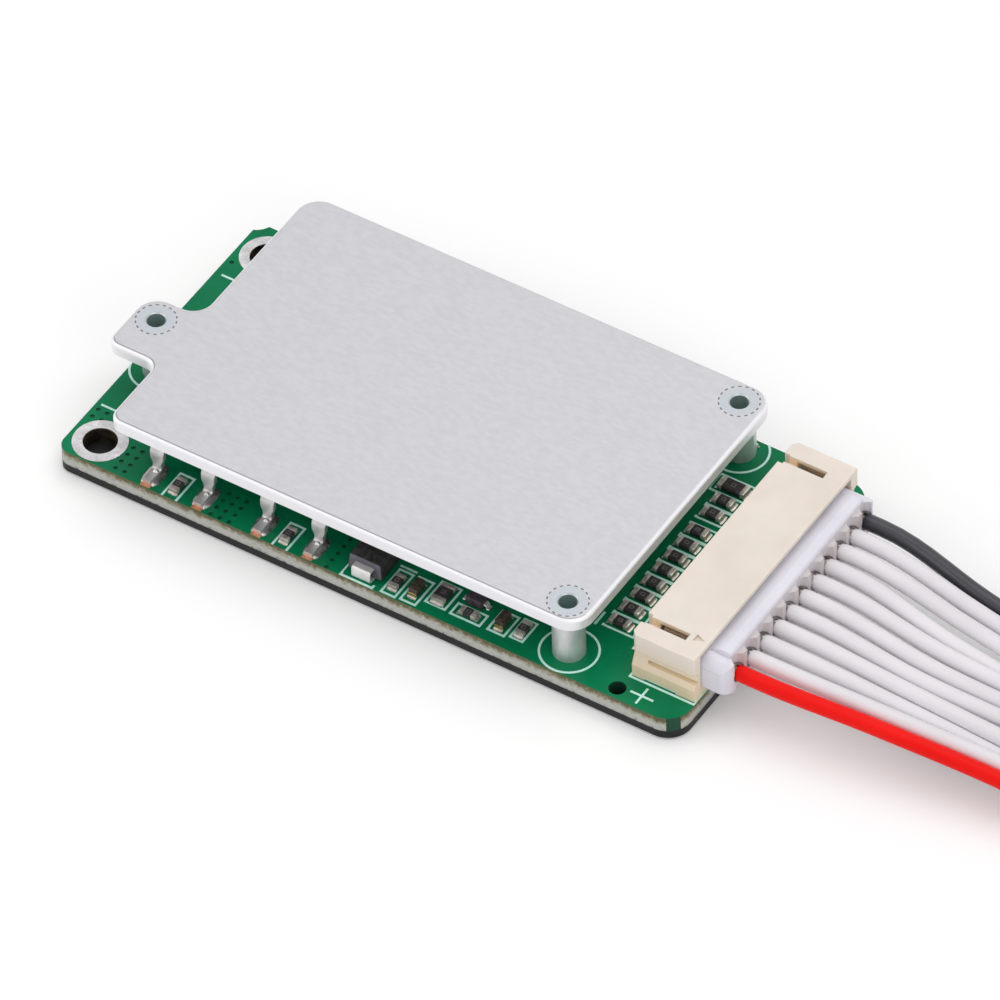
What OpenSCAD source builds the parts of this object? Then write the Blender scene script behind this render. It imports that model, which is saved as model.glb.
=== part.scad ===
// Battery management board: a ten-cell lithium pack protection circuit.
// A green circuit board carries four power transistors under an aluminium
// heat plate, which stands on three clinched standoffs. A side-entry header
// at the right end takes a plug with eleven balance wires.
//
// Frame: origin at the middle of the board's underside, X along the board
// towards the header, Y across it, Z up. Units are millimetres.

/* [Board] */
// Length of the circuit board along X
board_l = 61; // [59:0.5:66]
// Width of the circuit board along Y
board_w = 31; // [30.5:0.5:34]
// Thickness of the circuit board
board_t = 1.5; // [1:0.1:2]
// Thickness of the insulating sheet under the board
sheet_t = 0.8; // [0.8:0.1:1.5]
// Radius of the board's front left corner
left_corner_r = 1.2; // [0.5:0.1:2]
// Radius of the two corners at the right end
right_corner_r = 2.2; // [0.5:0.1:2.5]

/* [Pack terminals] */
// Bore of each plated hole for a pack cable
pad_bore = 3; // [2:0.1:3.6]
// Outside diameter of the tinned ring round that hole
pad_ring = 4.8; // [4.4:0.1:5]
// Distance of the holes from the left end
pad_inset = 2.8; // [2.6:0.1:3.2]
// Distance of the front hole from the front edge
front_pad_inset = 2.5; // [2.4:0.1:3]
// Distance of the back hole from the back edge
back_pad_inset = 3.1; // [2.6:0.1:3.6]

/* [Heat plate] */
// Thickness of the aluminium plate
plate_t = 1.2; // [0.8:0.1:2]
// Space between the board and the plate, over cases of the standard height
plate_gap = 4.75; // [4.75:0.05:6]
// Distance from the board's left end to the plate
plate_left = 5.2; // [4.8:0.1:5.6]
// Distance from the plate to the board's right end
plate_right = 9.6; // [9.4:0.1:10]
// How far the plate sits behind the board's middle
plate_back = 0.4; // [0:0.1:0.8]
// Radius of the plate's right and back corners
plate_r = 2.2; // [1.2:0.1:3]
// Radius of the plate's front left corner
plate_small_r = 1.2; // [0.8:0.1:2]
// Radius of the rolled top edge that the punch leaves
plate_roll = 0.35; // [0.1:0.05:0.45]
// Reach of the plate's tab beyond its left side
tab_reach = 5.05; // [4.7:0.05:5.1]
// Width of the tab along Y
tab_w = 6.6; // [5.6:0.1:7]
// Distance of the tab's middle from the plate's middle, along Y
tab_y = -4.8; // [-5.2:0.1:-4]

/* [Standoffs] */
// Diameter of a standoff's body
standoff_d = 2.8; // [2.6:0.1:3.2]
// Diameter of the knurled collar clinched into the plate
collar_d = 3.6; // [3.4:0.1:4]
// Number of teeth on the collar
collar_teeth = 18; // [12:1:24]
// Bore of the standoff's M2 threads
thread_bore = 1.6; // [1.4:0.1:1.8]
// Depth of the open thread from the plate's top
thread_l = 3; // [2.4:0.1:3.2]
// Distance of the two right standoffs from the plate's right side
standoff_inset_x = 2.4; // [2.2:0.1:3]
// Distance of those standoffs from the plate's long sides
standoff_inset_y = 2.15; // [2:0.05:2.6]
// Distance of the tab's standoff from the plate's left side
tab_standoff = 2.85; // [2.4:0.05:3]
// Head diameter of the screws that hold the standoffs
screw_head_d = 3.6; // [3:0.1:4]
// Length of the screws below their heads
screw_l = 3; // [2.5:0.5:3.5]

/* [Power transistors] */
// Width of a transistor's case
case_w = 10.2; // [9.8:0.1:10.4]
// Length of the case
case_l = 9.2; // [8.6:0.1:9.4]
// Height of the case
case_h = 4.4; // [4:0.1:4.6]
// Spacing between the two outer leads
lead_spacing = 5.08; // [4.6:0.02:5.6]
// Distance between neighbouring transistors, with cases of the standard width
case_pitch = 10.95; // [10.8:0.05:11.2]
// Length of a transistor from its lead tips to its tab
transistor_l = 15.2; // [14.8:0.1:15.2]
// Thickness of the heat tab
heat_tab_t = 1.27; // [1:0.05:1.5]

/* [Balance resistors] */
// Distance between neighbouring balance resistors
balance_pitch = 1.72; // [1.6:0.02:1.8]
// Length of a balance resistor
balance_l = 2; // [1.8:0.1:2.2]
// Width of a balance resistor
balance_w = 1.25; // [1:0.05:1.3]
// Number of resistors in the longer row
balance_row = 8; // [6:1:8]

/* [Header and plug] */
// Number of wires in the harness
pins = 11; // [6:1:11]
// Distance between neighbouring wires
pitch = 2; // [1.9:0.05:2]
// Distance of the connector's middle behind the board's middle
connector_y = 0.2; // [-0.4:0.1:0.4]
// Housing beyond the first and last pins, at each end
header_end = 2.75; // [2.7:0.05:3]
// Depth of the header along X
header_d = 6.05; // [6:0.05:6.5]
// Height of the header above the board
header_h = 5; // [5:0.1:5.6]
// Height of the pins above the board
pin_h = 2.55; // [2.5:0.05:2.7]
// Side of the square pins
pin_s = 0.5; // [0.4:0.05:0.6]
// How far the plug stands out past the board's end
plug_out = 2.5; // [2.2:0.1:3]
// Free space between the plug and the header's side walls
plug_clearance = 0.1; // [0.05:0.05:0.2]

/* [Wires] */
// Diameter of a wire over its insulation
wire_d = 1.45; // [1.2:0.05:1.45]
// Sides of each wire's tube
wire_sides = 8; // [8:1:12]

/* [Legend] */
// Width of the printed lines
line_w = 0.2; // [0.15:0.01:0.3]
// Thickness of the print
ink_t = 0.04; // [0.03:0.01:0.08]

/* [Hidden] */
$fn = 48;
eps = 0.01;

// Heights
board_z = sheet_t;
top_z = sheet_t + board_t;
standard_case_h = 4.4;
standoff_h = plate_gap + case_h - standard_case_h;
plate_z = top_z + standoff_h;
plate_top_z = plate_z + plate_t;

// Board
end_x = board_l / 2;
front_y = -board_w / 2;
back_y = board_w / 2;
pads = [[-end_x + pad_inset, front_y + front_pad_inset], [-end_x + pad_inset, back_y - back_pad_inset]];
tin_t = 0.06;
via_d = 0.4;
via_depth = 0.1;
via_pitch = 0.9;

// Plate
plate_x0 = -end_x + plate_left;
plate_x1 = end_x - plate_right;
plate_y0 = plate_back + front_y + 0.05;
plate_y1 = plate_back + back_y - 0.05;
tab_x0 = plate_x0 - tab_reach;
tab_y0 = plate_back + tab_y - tab_w / 2;
tab_y1 = plate_back + tab_y + tab_w / 2;
tab_back_fillet = 1.8;
tab_back_r = 2.1;
tab_front_r = 1.1;
tab_front_fillet = 1.1;

// Standoffs, in the order front, back, tab
standoffs = [
    [plate_x1 - standoff_inset_x, plate_y0 + standoff_inset_y],
    [plate_x1 - standoff_inset_x, plate_y1 - standoff_inset_y],
    [plate_x0 - tab_standoff, tab_y1 - 2.35]
];
screw_clearance = 0.6;
screw_play = 0.04;
screw_head_h = sheet_t - 0.1;
thread_web = 0.5;
lower_thread_l = standoff_h + plate_t - thread_l - thread_web;

// Power transistors: two along the front edge, two turned round at the back,
// so that the tabs of the two rows nearly meet along the board's middle
row_gap = 0.1;
tip_y = -row_gap / 2 - transistor_l;
standard_case_w = 10.2;
transistor_step = case_pitch + case_w - standard_case_w;
transistor_x = plate_x0 + 1.1 + case_w / 2;
lead_t = 0.5;
lead_w = 0.85;
shoulder_w = 1.35;
lead_h = 2.4;
foot_l = 2.2;
case_y0 = transistor_l - case_l - 1.2;
pad_margin = 0.2;

// Small parts
cap_l = 0.42;
chip_t = 0.5;
row_y = connector_y - (balance_row + 1.74) * balance_pitch / 2;
bleed_l = 3.2;
bleed_w = 1.6;
gate_l = 1.6;
gate_w = 0.85;
gate_box = [1.4, 3.85];
diode_w = 3.4;
diode_l = 3.3;
diode_lead_w = 2;

// Header and plug
header_x1 = end_x - 0.1;
header_x0 = header_x1 - header_d;
span = (pins - 1) * pitch;
header_w = span + 2 * header_end;
header_z1 = top_z + header_h;
wall = 0.95;
floor_t = 1.05;
roof_t = 0.4;
rear_wall = 1.3;
cavity_w = header_w - 2 * wall;
cavity_z0 = top_z + floor_t;
cavity_z1 = header_z1 - roof_t;
pin_z = top_z + pin_h;
slot_y = span / 2 + 0.3;
slot_w = 0.8;
slot_depth = 0.85;
slot_l = 4.2;
plug_x0 = header_x0 + rear_wall + 0.3;
plug_x1 = end_x + plug_out;
plug_w = cavity_w - 2 * plug_clearance;
plug_z0 = cavity_z0;
plug_z1 = cavity_z1 - 0.05;
rail_z = plug_z0 + 2.2;
ridge_w = span + 0.6;
mouth_d = 0.6;
end_z = plug_z0 + 3.15;
end_r = 1.3;
bore_d = wire_d + 0.15;
fin_z = pin_z + bore_d / 2 + 0.1;
contact_x1 = plug_x1 - 0.3;
contact_x0 = plug_x0 + 0.3;
box_x1 = contact_x0 + 2.4;
box_s = 1.3;
pin_x1 = box_x1 - 0.2;
pin_tail = 1.35;
pin_tail_t = 0.3;
foot_x = 1.2;
foot_size = [3, 1.6, 0.25];

// Balance resistors, in line with the pins' tails
resistor_x = header_x0 - pin_tail - 2.5;

// Route of each wire from a point straight out of the plug, from the front
// wire to the back one. The wires close up, come down and run out loose.
rest_z = wire_d / 2;
WIRE_ROUTES = [
    [[46, -9, 4.6], [60, -7.8, 3.2], [76, -8.6, rest_z], [110, -7, rest_z], [158, -9.8, rest_z]],
    [[46, -7.4, 4.6], [60, -6.3, 3.2], [76, -6.95, rest_z], [110, -5.4, rest_z], [160, -7.6, rest_z]],
    [[46, -5.8, 4.3], [60, -5.14, 2.3], [76, -5.3, rest_z], [110, -3.7, rest_z], [157, -5.9, rest_z]],
    [[46, -4.25, 4.6], [60, -3.98, 3.2], [76, -3.65, rest_z], [110, -2.1, rest_z], [159, -3.5, rest_z]],
    [[46, -2.7, 4.6], [60, -1.92, 3.2], [76, -2, rest_z], [110, -0.5, rest_z], [160, -1.3, rest_z]],
    [[46, -1, 4.6], [60, -0.43, 3.2], [76, -0.35, rest_z], [110, 1.2, rest_z], [158, 1, rest_z]],
    [[46, 0.84, 4.6], [60, 1.05, 3.2], [76, 1.3, rest_z], [110, 2.8, rest_z], [159, 2.9, rest_z]],
    [[46, 2.4, 4.3], [60, 2.21, 2.3], [76, 2.95, rest_z], [110, 4.4, rest_z], [157, 5.1, rest_z]],
    [[46, 4.6, 4.6], [60, 3.37, 3.2], [76, 4.6, rest_z], [110, 6.1, rest_z], [160, 7.2, rest_z]],
    [[46, 6.35, 4.6], [60, 4.9, 3.2], [76, 6.25, rest_z], [110, 7.7, rest_z], [159, 9.4, rest_z]],
    [[46, 7.95, 4.5], [60, 6.5, 3.2], [76, 7.9, rest_z], [110, 9.4, rest_z], [157, 11.4, rest_z]]
];
WIRE_COLOURS = [
    "red", "white", "white", "white", "white", "white", "white", "white", "white", "white", "#222222"
];

// ---- Shared shapes ----

// A box between two opposite corners
module box(a, b) {
    translate(a) cube(b - a);
}

// Outlines. A list holds [x, y, radius] for each corner, counter-clockwise, of
// an outline whose sides run along X and Y. A left turn is an outside corner
// and a right turn an inside one.
function point(list, i) = [list[i][0], list[i][1]];
function unit(v) = v / norm(v);
function way_out(list, i) = unit(point(list, (i + 1) % len(list)) - point(list, i));
function way_in(list, i) = way_out(list, (i + len(list) - 1) % len(list));
function is_outside(list, i) = cross(way_in(list, i), way_out(list, i)) > 0;
function centre(list, i) = point(list, i) + list[i][2] * (way_out(list, i) - way_in(list, i));

// The sliver between a corner's sharp point and its arc
module spandrel(list, i) {
    r = list[i][2];
    if (r > 0) difference() {
        polygon([
            point(list, i), point(list, i) - r * way_in(list, i), centre(list, i),
            point(list, i) + r * way_out(list, i)
        ]);
        translate(centre(list, i)) circle(r = r);
    }
}

// The flat outline with its corners rounded
module outline(list) {
    n = len(list) - 1;
    difference() {
        union() {
            polygon([for (i = [0:n]) point(list, i)]);
            for (i = [0:n]) if (!is_outside(list, i)) spandrel(list, i);
        }
        for (i = [0:n]) if (is_outside(list, i)) spandrel(list, i);
    }
}

// Section of the material that a rolled edge of radius r leaves off, with the
// sharp edge at the origin and the metal towards -X and -Y
module roll_section(r) {
    difference() {
        translate([-r, -r]) square(r + 0.1);
        translate([-r, -r]) circle(r = r);
    }
}

// Cuts a rolled edge round the top of an outline whose top face is at height z
module roll_cut(list, r, z) {
    for (i = [0:len(list) - 1]) {
        j = (i + 1) % len(list);
        a = way_in(list, i);
        b = way_out(list, i);
        start = point(list, i) + list[i][2] * b;
        finish = point(list, j) - list[j][2] * b;
        // Along the side that leaves this corner
        translate([start[0], start[1], z]) rotate(atan2(b[1], b[0])) rotate([90, 0, 90])
            linear_extrude(norm(finish - start)) mirror([1, 0]) roll_section(r);
        // Round the corner
        c = centre(list, i);
        translate([c[0], c[1], z])
            if (is_outside(list, i)) rotate(atan2(-b[1], -b[0]))
                rotate_extrude(angle = 90) translate([list[i][2], 0]) roll_section(r);
            else rotate(atan2(a[1], a[0]))
                rotate_extrude(angle = 90) translate([list[i][2], 0]) mirror([1, 0]) roll_section(r);
    }
}

// The board's outline, with the scallop at its back left corner
module board_plan() {
    difference() {
        outline([
            [-end_x, front_y, left_corner_r], [end_x, front_y, right_corner_r],
            [end_x, back_y, right_corner_r], [-end_x, back_y, 0]
        ]);
        translate([-end_x - 0.75, back_y + 0.75]) circle(r = 1.9);
    }
}

// The knurled outline of a clinched collar
module collar_plan() {
    circle(d = collar_d - 0.35);
    for (i = [0:collar_teeth - 1])
        rotate(360 * i / collar_teeth) translate([0, -0.15]) square([collar_d / 2, 0.3]);
}

// ---- Board and sheet ----

// Fields of small vias: left front corner, columns and rows
VIA_FIELDS = [
    [-end_x + 0.6, front_y + 4.6, 2, 2],
    [-end_x + 5.6, front_y + 0.6, 2, 4],
    [-end_x + 15.3, front_y + 0.3, 3, 4],
    [-end_x + 26.8, front_y + 0.2, 1, 5],
    [-end_x + 0.6, back_y - 5.2, 1, 1]
];

module circuit_board() {
    color("darkgreen") difference() {
        translate([0, 0, board_z]) linear_extrude(board_t) board_plan();
        for (p = pads)
            translate([p[0], p[1], board_z - 1]) cylinder(d = pad_bore, h = board_t + 2);
        for (p = standoffs)
            translate([p[0], p[1], board_z - 1])
                cylinder(d = thread_bore + screw_clearance, h = board_t + 2);
        // Test hole near the front right corner
        translate([end_x - 6.4, front_y + 1.1, board_z - 1]) cylinder(d = 1.5, h = board_t + 2);
        for (f = VIA_FIELDS, i = [0:f[2] - 1], j = [0:f[3] - 1])
            translate([f[0] + i * via_pitch, f[1] + j * via_pitch, top_z - via_depth])
                cylinder(d = via_d, h = 1, $fn = 16);
    }
}

// Tinned rings round the cable holes, cut off at the board's edge
module terminal_rings() {
    color("silver") translate([0, 0, top_z]) linear_extrude(tin_t) intersection() {
        for (p = pads)
            translate(p) difference() {
                circle(d = pad_ring);
                circle(d = pad_bore);
            }
        board_plan();
    }
}

module insulating_sheet() {
    color("#1c1c1c") difference() {
        linear_extrude(sheet_t) board_plan();
        for (p = standoffs)
            translate([p[0], p[1], -1]) cylinder(d = screw_head_d + 0.4, h = sheet_t + 2);
    }
}

// A printed ring, kept inside the board's outline
module ink_ring(p, d) {
    translate(p) difference() {
        circle(d = d + line_w);
        circle(d = d - line_w);
    }
}

// A printed rectangle round a part, given by its middle and size
module ink_box(p, size) {
    translate(p) difference() {
        square(size + [line_w, line_w], center = true);
        square(size - [line_w, line_w], center = true);
    }
}

// A printed line along X
module ink_line(x0, x1, y) {
    translate([x0, y - line_w / 2]) square([x1 - x0, line_w]);
}

module board_legend() {
    plus_y = front_y + 1.35;
    plus_x = end_x - 4.2;
    color("white") translate([0, 0, top_z]) linear_extrude(ink_t) difference() {
        intersection() {
            union() {
                for (p = standoffs) ink_ring(p, 5);
                // These boxes run off the board's front edge
                for (i = [0:1]) ink_box([gate_place(i)[0], front_y + 0.95], gate_box);
                for (y = balance_places()) ink_box([resistor_x + 0.25, y], [2.9, balance_pitch - 0.12]);
                ink_box([resistor_x, bleed_y()], [bleed_l + 0.5, bleed_w + 0.35]);
                ink_box([diode_x - 0.2, front_y + 2.75], [3.1, 5.3]);
                for (c = concat(FRONT_CHIPS, FRONT_CAPACITORS)) ink_box([c[0], c[1]], c[4]);
                ink_box([(header_x0 + header_x1) / 2, connector_y], [header_d + 0.15, header_w + 0.4]);
                ink_line(-end_x + 0.5, plate_x0 + 0.5, front_y + 6.1);
                ink_line(-end_x + 0.7, plate_x0 + 0.5, back_y - 6.9);
                ink_line(front_x(1) - 0.85, front_x(1) + 0.8, front_y + 3.5);
                translate([standoffs[0][0] + 0.2, standoffs[0][1] + 4.4])
                    square([line_w, 1.6], center = true);
                // Plus mark beside the header
                ink_line(plus_x - 1.1, plus_x + 1.1, plus_y);
                translate([plus_x, plus_y]) square([line_w, 1.9], center = true);
            }
            board_plan();
        }
        // The print stops short of the parts and holes that cover it
        for (p = standoffs) translate(p) circle(d = standoff_d);
        for (p = pads) translate(p) circle(d = pad_ring + 0.1);
        translate([header_x0, connector_y - header_w / 2]) square([header_d, header_w]);
        translate([header_x0 - pin_tail - 0.5, connector_y - span / 2 - pin_s])
            square([pin_tail + 0.6, span + 2 * pin_s]);
        for (y = balance_places())
            translate([resistor_x, y]) square([balance_l + 0.6, balance_w], center = true);
        translate([resistor_x, bleed_y()]) square([bleed_l + 0.6, bleed_w + 0.05], center = true);
        for (c = concat(FRONT_CHIPS, FRONT_CAPACITORS, INNER_RESISTORS))
            translate([c[0], c[1]]) rotate(c[3]) square([c[2][0] + 0.6, c[2][1]], center = true);
        for (i = [0:1]) translate(gate_place(i)) square([gate_w, gate_l + 0.6], center = true);
        translate([diode_x, front_y + 2.85]) square([diode_w, 4.8], center = true);
        translate(signal_diode_place) square([2.7, 1.4], center = true);
    }
}

// ---- Heat plate and standoffs ----

module heat_plate() {
    corners = [
        [plate_x0, plate_y0, plate_small_r], [plate_x1, plate_y0, plate_r],
        [plate_x1, plate_y1, plate_r], [plate_x0, plate_y1, plate_r],
        [plate_x0, tab_y1, tab_back_fillet], [tab_x0, tab_y1, tab_back_r],
        [tab_x0, tab_y0, tab_front_r], [plate_x0, tab_y0, tab_front_fillet]
    ];
    color("silver") difference() {
        translate([0, 0, plate_z]) linear_extrude(plate_t) outline(corners);
        roll_cut(corners, plate_roll, plate_top_z);
        for (p = standoffs)
            translate([p[0], p[1], plate_z - 1]) linear_extrude(plate_t + 2) collar_plan();
    }
}

// A clinched standoff: plain body, knurled collar flush with the plate
module standoff(p) {
    color("lightgray") translate([p[0], p[1], top_z]) difference() {
        union() {
            cylinder(d = standoff_d, h = standoff_h);
            translate([0, 0, standoff_h]) linear_extrude(plate_t) collar_plan();
        }
        // Blind threads: a short one for the screw below, an open one above
        translate([0, 0, -1]) cylinder(d = thread_bore, h = lower_thread_l + 1);
        translate([0, 0, standoff_h + plate_t - thread_l]) cylinder(d = thread_bore, h = thread_l + 1);
        // Countersink at the mouth of the thread
        translate([0, 0, standoff_h + plate_t - 0.12])
            cylinder(d1 = thread_bore, d2 = thread_bore + 0.24, h = 0.12 + eps);
    }
}

module standoff_front() standoff(standoffs[0]);
module standoff_back() standoff(standoffs[1]);
module standoff_tab() standoff(standoffs[2]);

// Low pan-head screws from below, one into each standoff
module standoff_screws() {
    color("gray") for (p = standoffs)
        translate([p[0], p[1], 0]) difference() {
            union() {
                translate([0, 0, board_z - screw_head_h]) cylinder(d = screw_head_d, h = screw_head_h);
                translate([0, 0, board_z - eps]) cylinder(d = thread_bore - screw_play, h = screw_l + eps);
            }
            // Cross recess
            for (a = [0, 90]) rotate(a) box([-0.9, -0.2, -1], [0.9, 0.2, board_z - screw_head_h + 0.4]);
        }
}

// ---- Power transistors ----

// Puts its children at transistor i: 0 and 1 face the front edge, 2 and 3
// are turned round and face the back edge
module at_transistor(i) {
    x = transistor_x + (i % 2) * transistor_step;
    if (i < 2) translate([x, tip_y, top_z]) children();
    else translate([x, -tip_y, top_z]) rotate(180) children();
}

// The copper heat tab; the cut for it in the case reaches lower
module heat_tab(below = 0) {
    translate([0, 0, -below]) linear_extrude(heat_tab_t + below) difference() {
        translate([-case_w / 2, case_y0 + 3]) square([case_w, transistor_l - case_y0 - 3]);
        for (s = [-1, 1])
            translate([s * case_w / 2, transistor_l]) rotate(45) square(0.9, center = true);
    }
}

module mosfet_case(i) {
    color("#262626") at_transistor(i) difference() {
        // Side profile with the moulding's draft, above and below the leads
        translate([-case_w / 2, 0, 0]) rotate([90, 0, 90]) linear_extrude(case_w)
            polygon([
                [case_y0 + 0.25, 0.05], [case_y0, lead_h], [case_y0 + 0.35, case_h],
                [case_y0 + case_l - 0.3, case_h], [case_y0 + case_l, heat_tab_t + 0.4],
                [case_y0 + case_l, 0.05]
            ]);
        heat_tab(below = 1);
        translate([-case_w / 2 - 1, case_y0 + 3, -1]) cube([case_w + 2, case_l, 1 + 0.06]);
        for (x = [-1, 0, 1]) box([x * lead_spacing / 2 - shoulder_w / 2, case_y0 - 1, lead_h],
            [x * lead_spacing / 2 + shoulder_w / 2, case_y0 + 1, lead_h + lead_t]);
        // Pin-one dimple
        translate([-case_w / 2 + 1.4, case_y0 + 1.6, case_h - 0.1]) cylinder(d = 1.2, h = 1);
    }
}

// A formed outer lead: wide shoulder out of the case, narrow leg, flat foot
module formed_lead() {
    box([-shoulder_w / 2, foot_l - lead_t, lead_h], [shoulder_w / 2, case_y0 + 1, lead_h + lead_t]);
    translate([0, foot_l, 0]) rotate([90, 0, 0]) linear_extrude(lead_t)
        polygon([
            [-lead_w / 2, 0], [lead_w / 2, 0], [lead_w / 2, 0.9], [shoulder_w / 2, 1.3],
            [shoulder_w / 2, lead_h + lead_t], [-shoulder_w / 2, lead_h + lead_t],
            [-shoulder_w / 2, 1.3], [-lead_w / 2, 0.9]
        ]);
    box([-lead_w / 2, 0, 0], [lead_w / 2, foot_l, lead_t]);
}

module mosfet_frame(i) {
    color("silver") at_transistor(i) {
        heat_tab();
        for (s = [-1, 1]) translate([s * lead_spacing / 2, 0, 0]) formed_lead();
        // The middle lead is cut off short
        box([-shoulder_w / 2, case_y0 - 0.8, lead_h], [shoulder_w / 2, case_y0 + 1, lead_h + lead_t]);
    }
}

module mosfet_case_1() mosfet_case(0);
module mosfet_case_2() mosfet_case(1);
module mosfet_case_3() mosfet_case(2);
module mosfet_case_4() mosfet_case(3);
module mosfet_frame_1() mosfet_frame(0);
module mosfet_frame_2() mosfet_frame(1);
module mosfet_frame_3() mosfet_frame(2);
module mosfet_frame_4() mosfet_frame(3);

// A domed mound of solder round each outer foot, open where the lead stands
module solder_joints() {
    mound_w = lead_w + 0.95;
    mound_h = lead_t + 0.25;
    // Radius of the arc that falls from mound_h to the board over half the width
    mound_r = (pow(mound_w / 2, 2) + pow(mound_h, 2)) / (2 * mound_h);
    edge = front_y - tip_y + 0.05;
    mound_end = foot_l + 0.6;
    // Radius of the arc that falls from the crest towards both ends
    crest_r = 2.8;
    color("gainsboro") for (i = [0:3]) at_transistor(i)
        for (s = [-1, 1]) translate([s * lead_spacing / 2, 0, 0]) difference() {
            intersection() {
                translate([0, edge, mound_h - mound_r])
                    rotate([-90, 0, 0]) cylinder(r = mound_r, h = foot_l + 0.5 - edge);
                translate([-mound_w, (edge + mound_end) / 2, mound_h - crest_r])
                    rotate([0, 90, 0]) cylinder(r = crest_r, h = 2 * mound_w);
                box([-mound_w / 2, edge, 0], [mound_w / 2, mound_end, mound_h]);
            }
            formed_lead();
        }
}

// Silicone pad between the cases and the plate
module thermal_pad() {
    x0 = transistor_x - case_w / 2 + pad_margin;
    y0 = tip_y + case_y0 + 0.35;
    color("lightblue")
        box([x0, y0, top_z + case_h], [x0 + transistor_step + case_w - 2 * pad_margin, -y0, plate_z]);
}

// ---- Chip parts ----

// Body of a chip part lying along X, between its two ends
module chip_body(size) {
    translate([-size[0] / 2 + cap_l, -size[1] / 2, 0.04])
        cube([size[0] - 2 * cap_l, size[1], size[2] - 0.06]);
}

// The two tinned ends, each with its solder fillet
module chip_ends(size) {
    for (a = [0, 180]) rotate(a) translate([size[0] / 2 - cap_l, size[1] / 2, 0]) rotate([90, 0, 0])
        linear_extrude(size[1]) polygon([
            [0, 0], [cap_l + 0.25, 0], [cap_l + 0.08, 0.2 * size[2]], [cap_l, 0.7 * size[2]],
            [cap_l - 0.05, size[2]], [0, size[2]]
        ]);
}

// Front row, from the transistors to the front standoff: each part's width
// along X and the share of the row's free length that lies before it
FRONT_ROW = [
    [diode_w, 0.084], [0.85, 0.07], [0.8, 0.104], [1.25, 0.111], [2.1, 0.126], [0.8, 0.149], [0.85, 0.101]
];
row_x0 = transistor_x + transistor_step + case_w / 2;
row_x1 = standoffs[0][0] - standoff_d / 2;
free_l = row_x1 - row_x0 - total(FRONT_ROW, 6, 0);

function total(list, i, k) = i < 0 ? 0 : list[i][k] + total(list, i - 1, k);
function front_x(i) =
    row_x0 + total(FRONT_ROW, i, 0) - FRONT_ROW[i][0] / 2 + free_l * total(FRONT_ROW, i, 1);
function along(share) = row_x0 + share * (row_x1 - row_x0);

// Chips: x, y, size, angle, printed box
FRONT_CHIPS = [
    [front_x(1), front_y + 1.65, [1.6, 0.85, 0.45], 90, [1.35, 2.9]],
    [front_x(3), front_y + 2.45, [2, 1.25, 0.5], 90, [1.9, 2.6]],
    [front_x(4), front_y + 1.72, [1.6, 0.8, 0.45], 0, [2.85, 1.3]],
    [front_x(6), front_y + 2.55, [1.6, 0.85, 0.45], 90, [1.2, 2.3]]
];
FRONT_CAPACITORS = [
    [front_x(2), front_y + 1.75, [1.6, 0.8, 0.95], 90, [1.45, 2.9]],
    [front_x(5), front_y + 2.35, [1.6, 0.8, 0.95], 90, [1.6, 2.4]]
];
INNER_RESISTORS = [
    for (share = [0.618, 0.697, 0.777], y = [6.2, 8.6]) [along(share), front_y + y, [1.6, 0.8, 0.45], 90]
];
diode_x = front_x(0);
signal_diode_place = [front_x(4) - 0.1, front_y + 3.2];

function gate_place(i) = [transistor_x + i * transistor_step - 0.1, front_y + 1.45];
function bleed_y() = row_y + (balance_row + 1.36) * balance_pitch + (balance_w + bleed_w) / 2 + 0.35;
function balance_places() = concat(
    [for (i = [0:balance_row - 1]) row_y + i * balance_pitch],
    [for (i = [0:1]) row_y + (balance_row + i + 0.36) * balance_pitch]
);

// Places its children at each entry of a list of chips
module at_chips(list) {
    for (c = list) translate([c[0], c[1], top_z]) rotate(c[3]) {
        $size = c[2];
        children();
    }
}

module gate_resistors() {
    color("#202020") for (i = [0:1], s = [0, 1]) rotate(180 * s)
        translate([gate_place(i)[0] * (1 - 2 * s), gate_place(i)[1], top_z]) rotate(90)
            chip_body([gate_l, gate_w, chip_t]);
}

module gate_resistor_ends() {
    color("silver") for (i = [0:1], s = [0, 1]) rotate(180 * s)
        translate([gate_place(i)[0] * (1 - 2 * s), gate_place(i)[1], top_z]) rotate(90)
            chip_ends([gate_l, gate_w, chip_t]);
}

module balance_resistors() {
    color("#202020") {
        for (y = balance_places()) translate([resistor_x, y, top_z])
            chip_body([balance_l, balance_w, chip_t]);
        translate([resistor_x, bleed_y(), top_z]) chip_body([bleed_l, bleed_w, chip_t + 0.05]);
    }
}

module balance_resistor_ends() {
    color("silver") {
        for (y = balance_places()) translate([resistor_x, y, top_z])
            chip_ends([balance_l, balance_w, chip_t]);
        translate([resistor_x, bleed_y(), top_z]) chip_ends([bleed_l, bleed_w, chip_t + 0.05]);
    }
}

module filter_resistors() {
    color("#202020") {
        at_chips(FRONT_CHIPS) chip_body($size);
        at_chips(INNER_RESISTORS) chip_body($size);
    }
}

module filter_resistor_ends() {
    color("silver") {
        at_chips(FRONT_CHIPS) chip_ends($size);
        at_chips(INNER_RESISTORS) chip_ends($size);
    }
}

module filter_capacitors() {
    color("tan") at_chips(FRONT_CAPACITORS) chip_body($size);
}

module filter_capacitor_ends() {
    color("silver") at_chips(FRONT_CAPACITORS) chip_ends($size);
}

// Moulded diode lying across the board's edge, its flat leads folded under it
module clamp_diode() {
    w = diode_w / 2;
    color("#3a3740") translate([diode_x, front_y + 2.85, top_z]) rotate([90, 0, 0])
        translate([0, 0, -diode_l / 2]) linear_extrude(diode_l) polygon([
            [-w + 0.1, 0.15], [w - 0.1, 0.15], [w, 1.1], [w - 0.2, 1.95], [-w + 0.2, 1.95], [-w, 1.1]
        ]);
}

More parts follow.
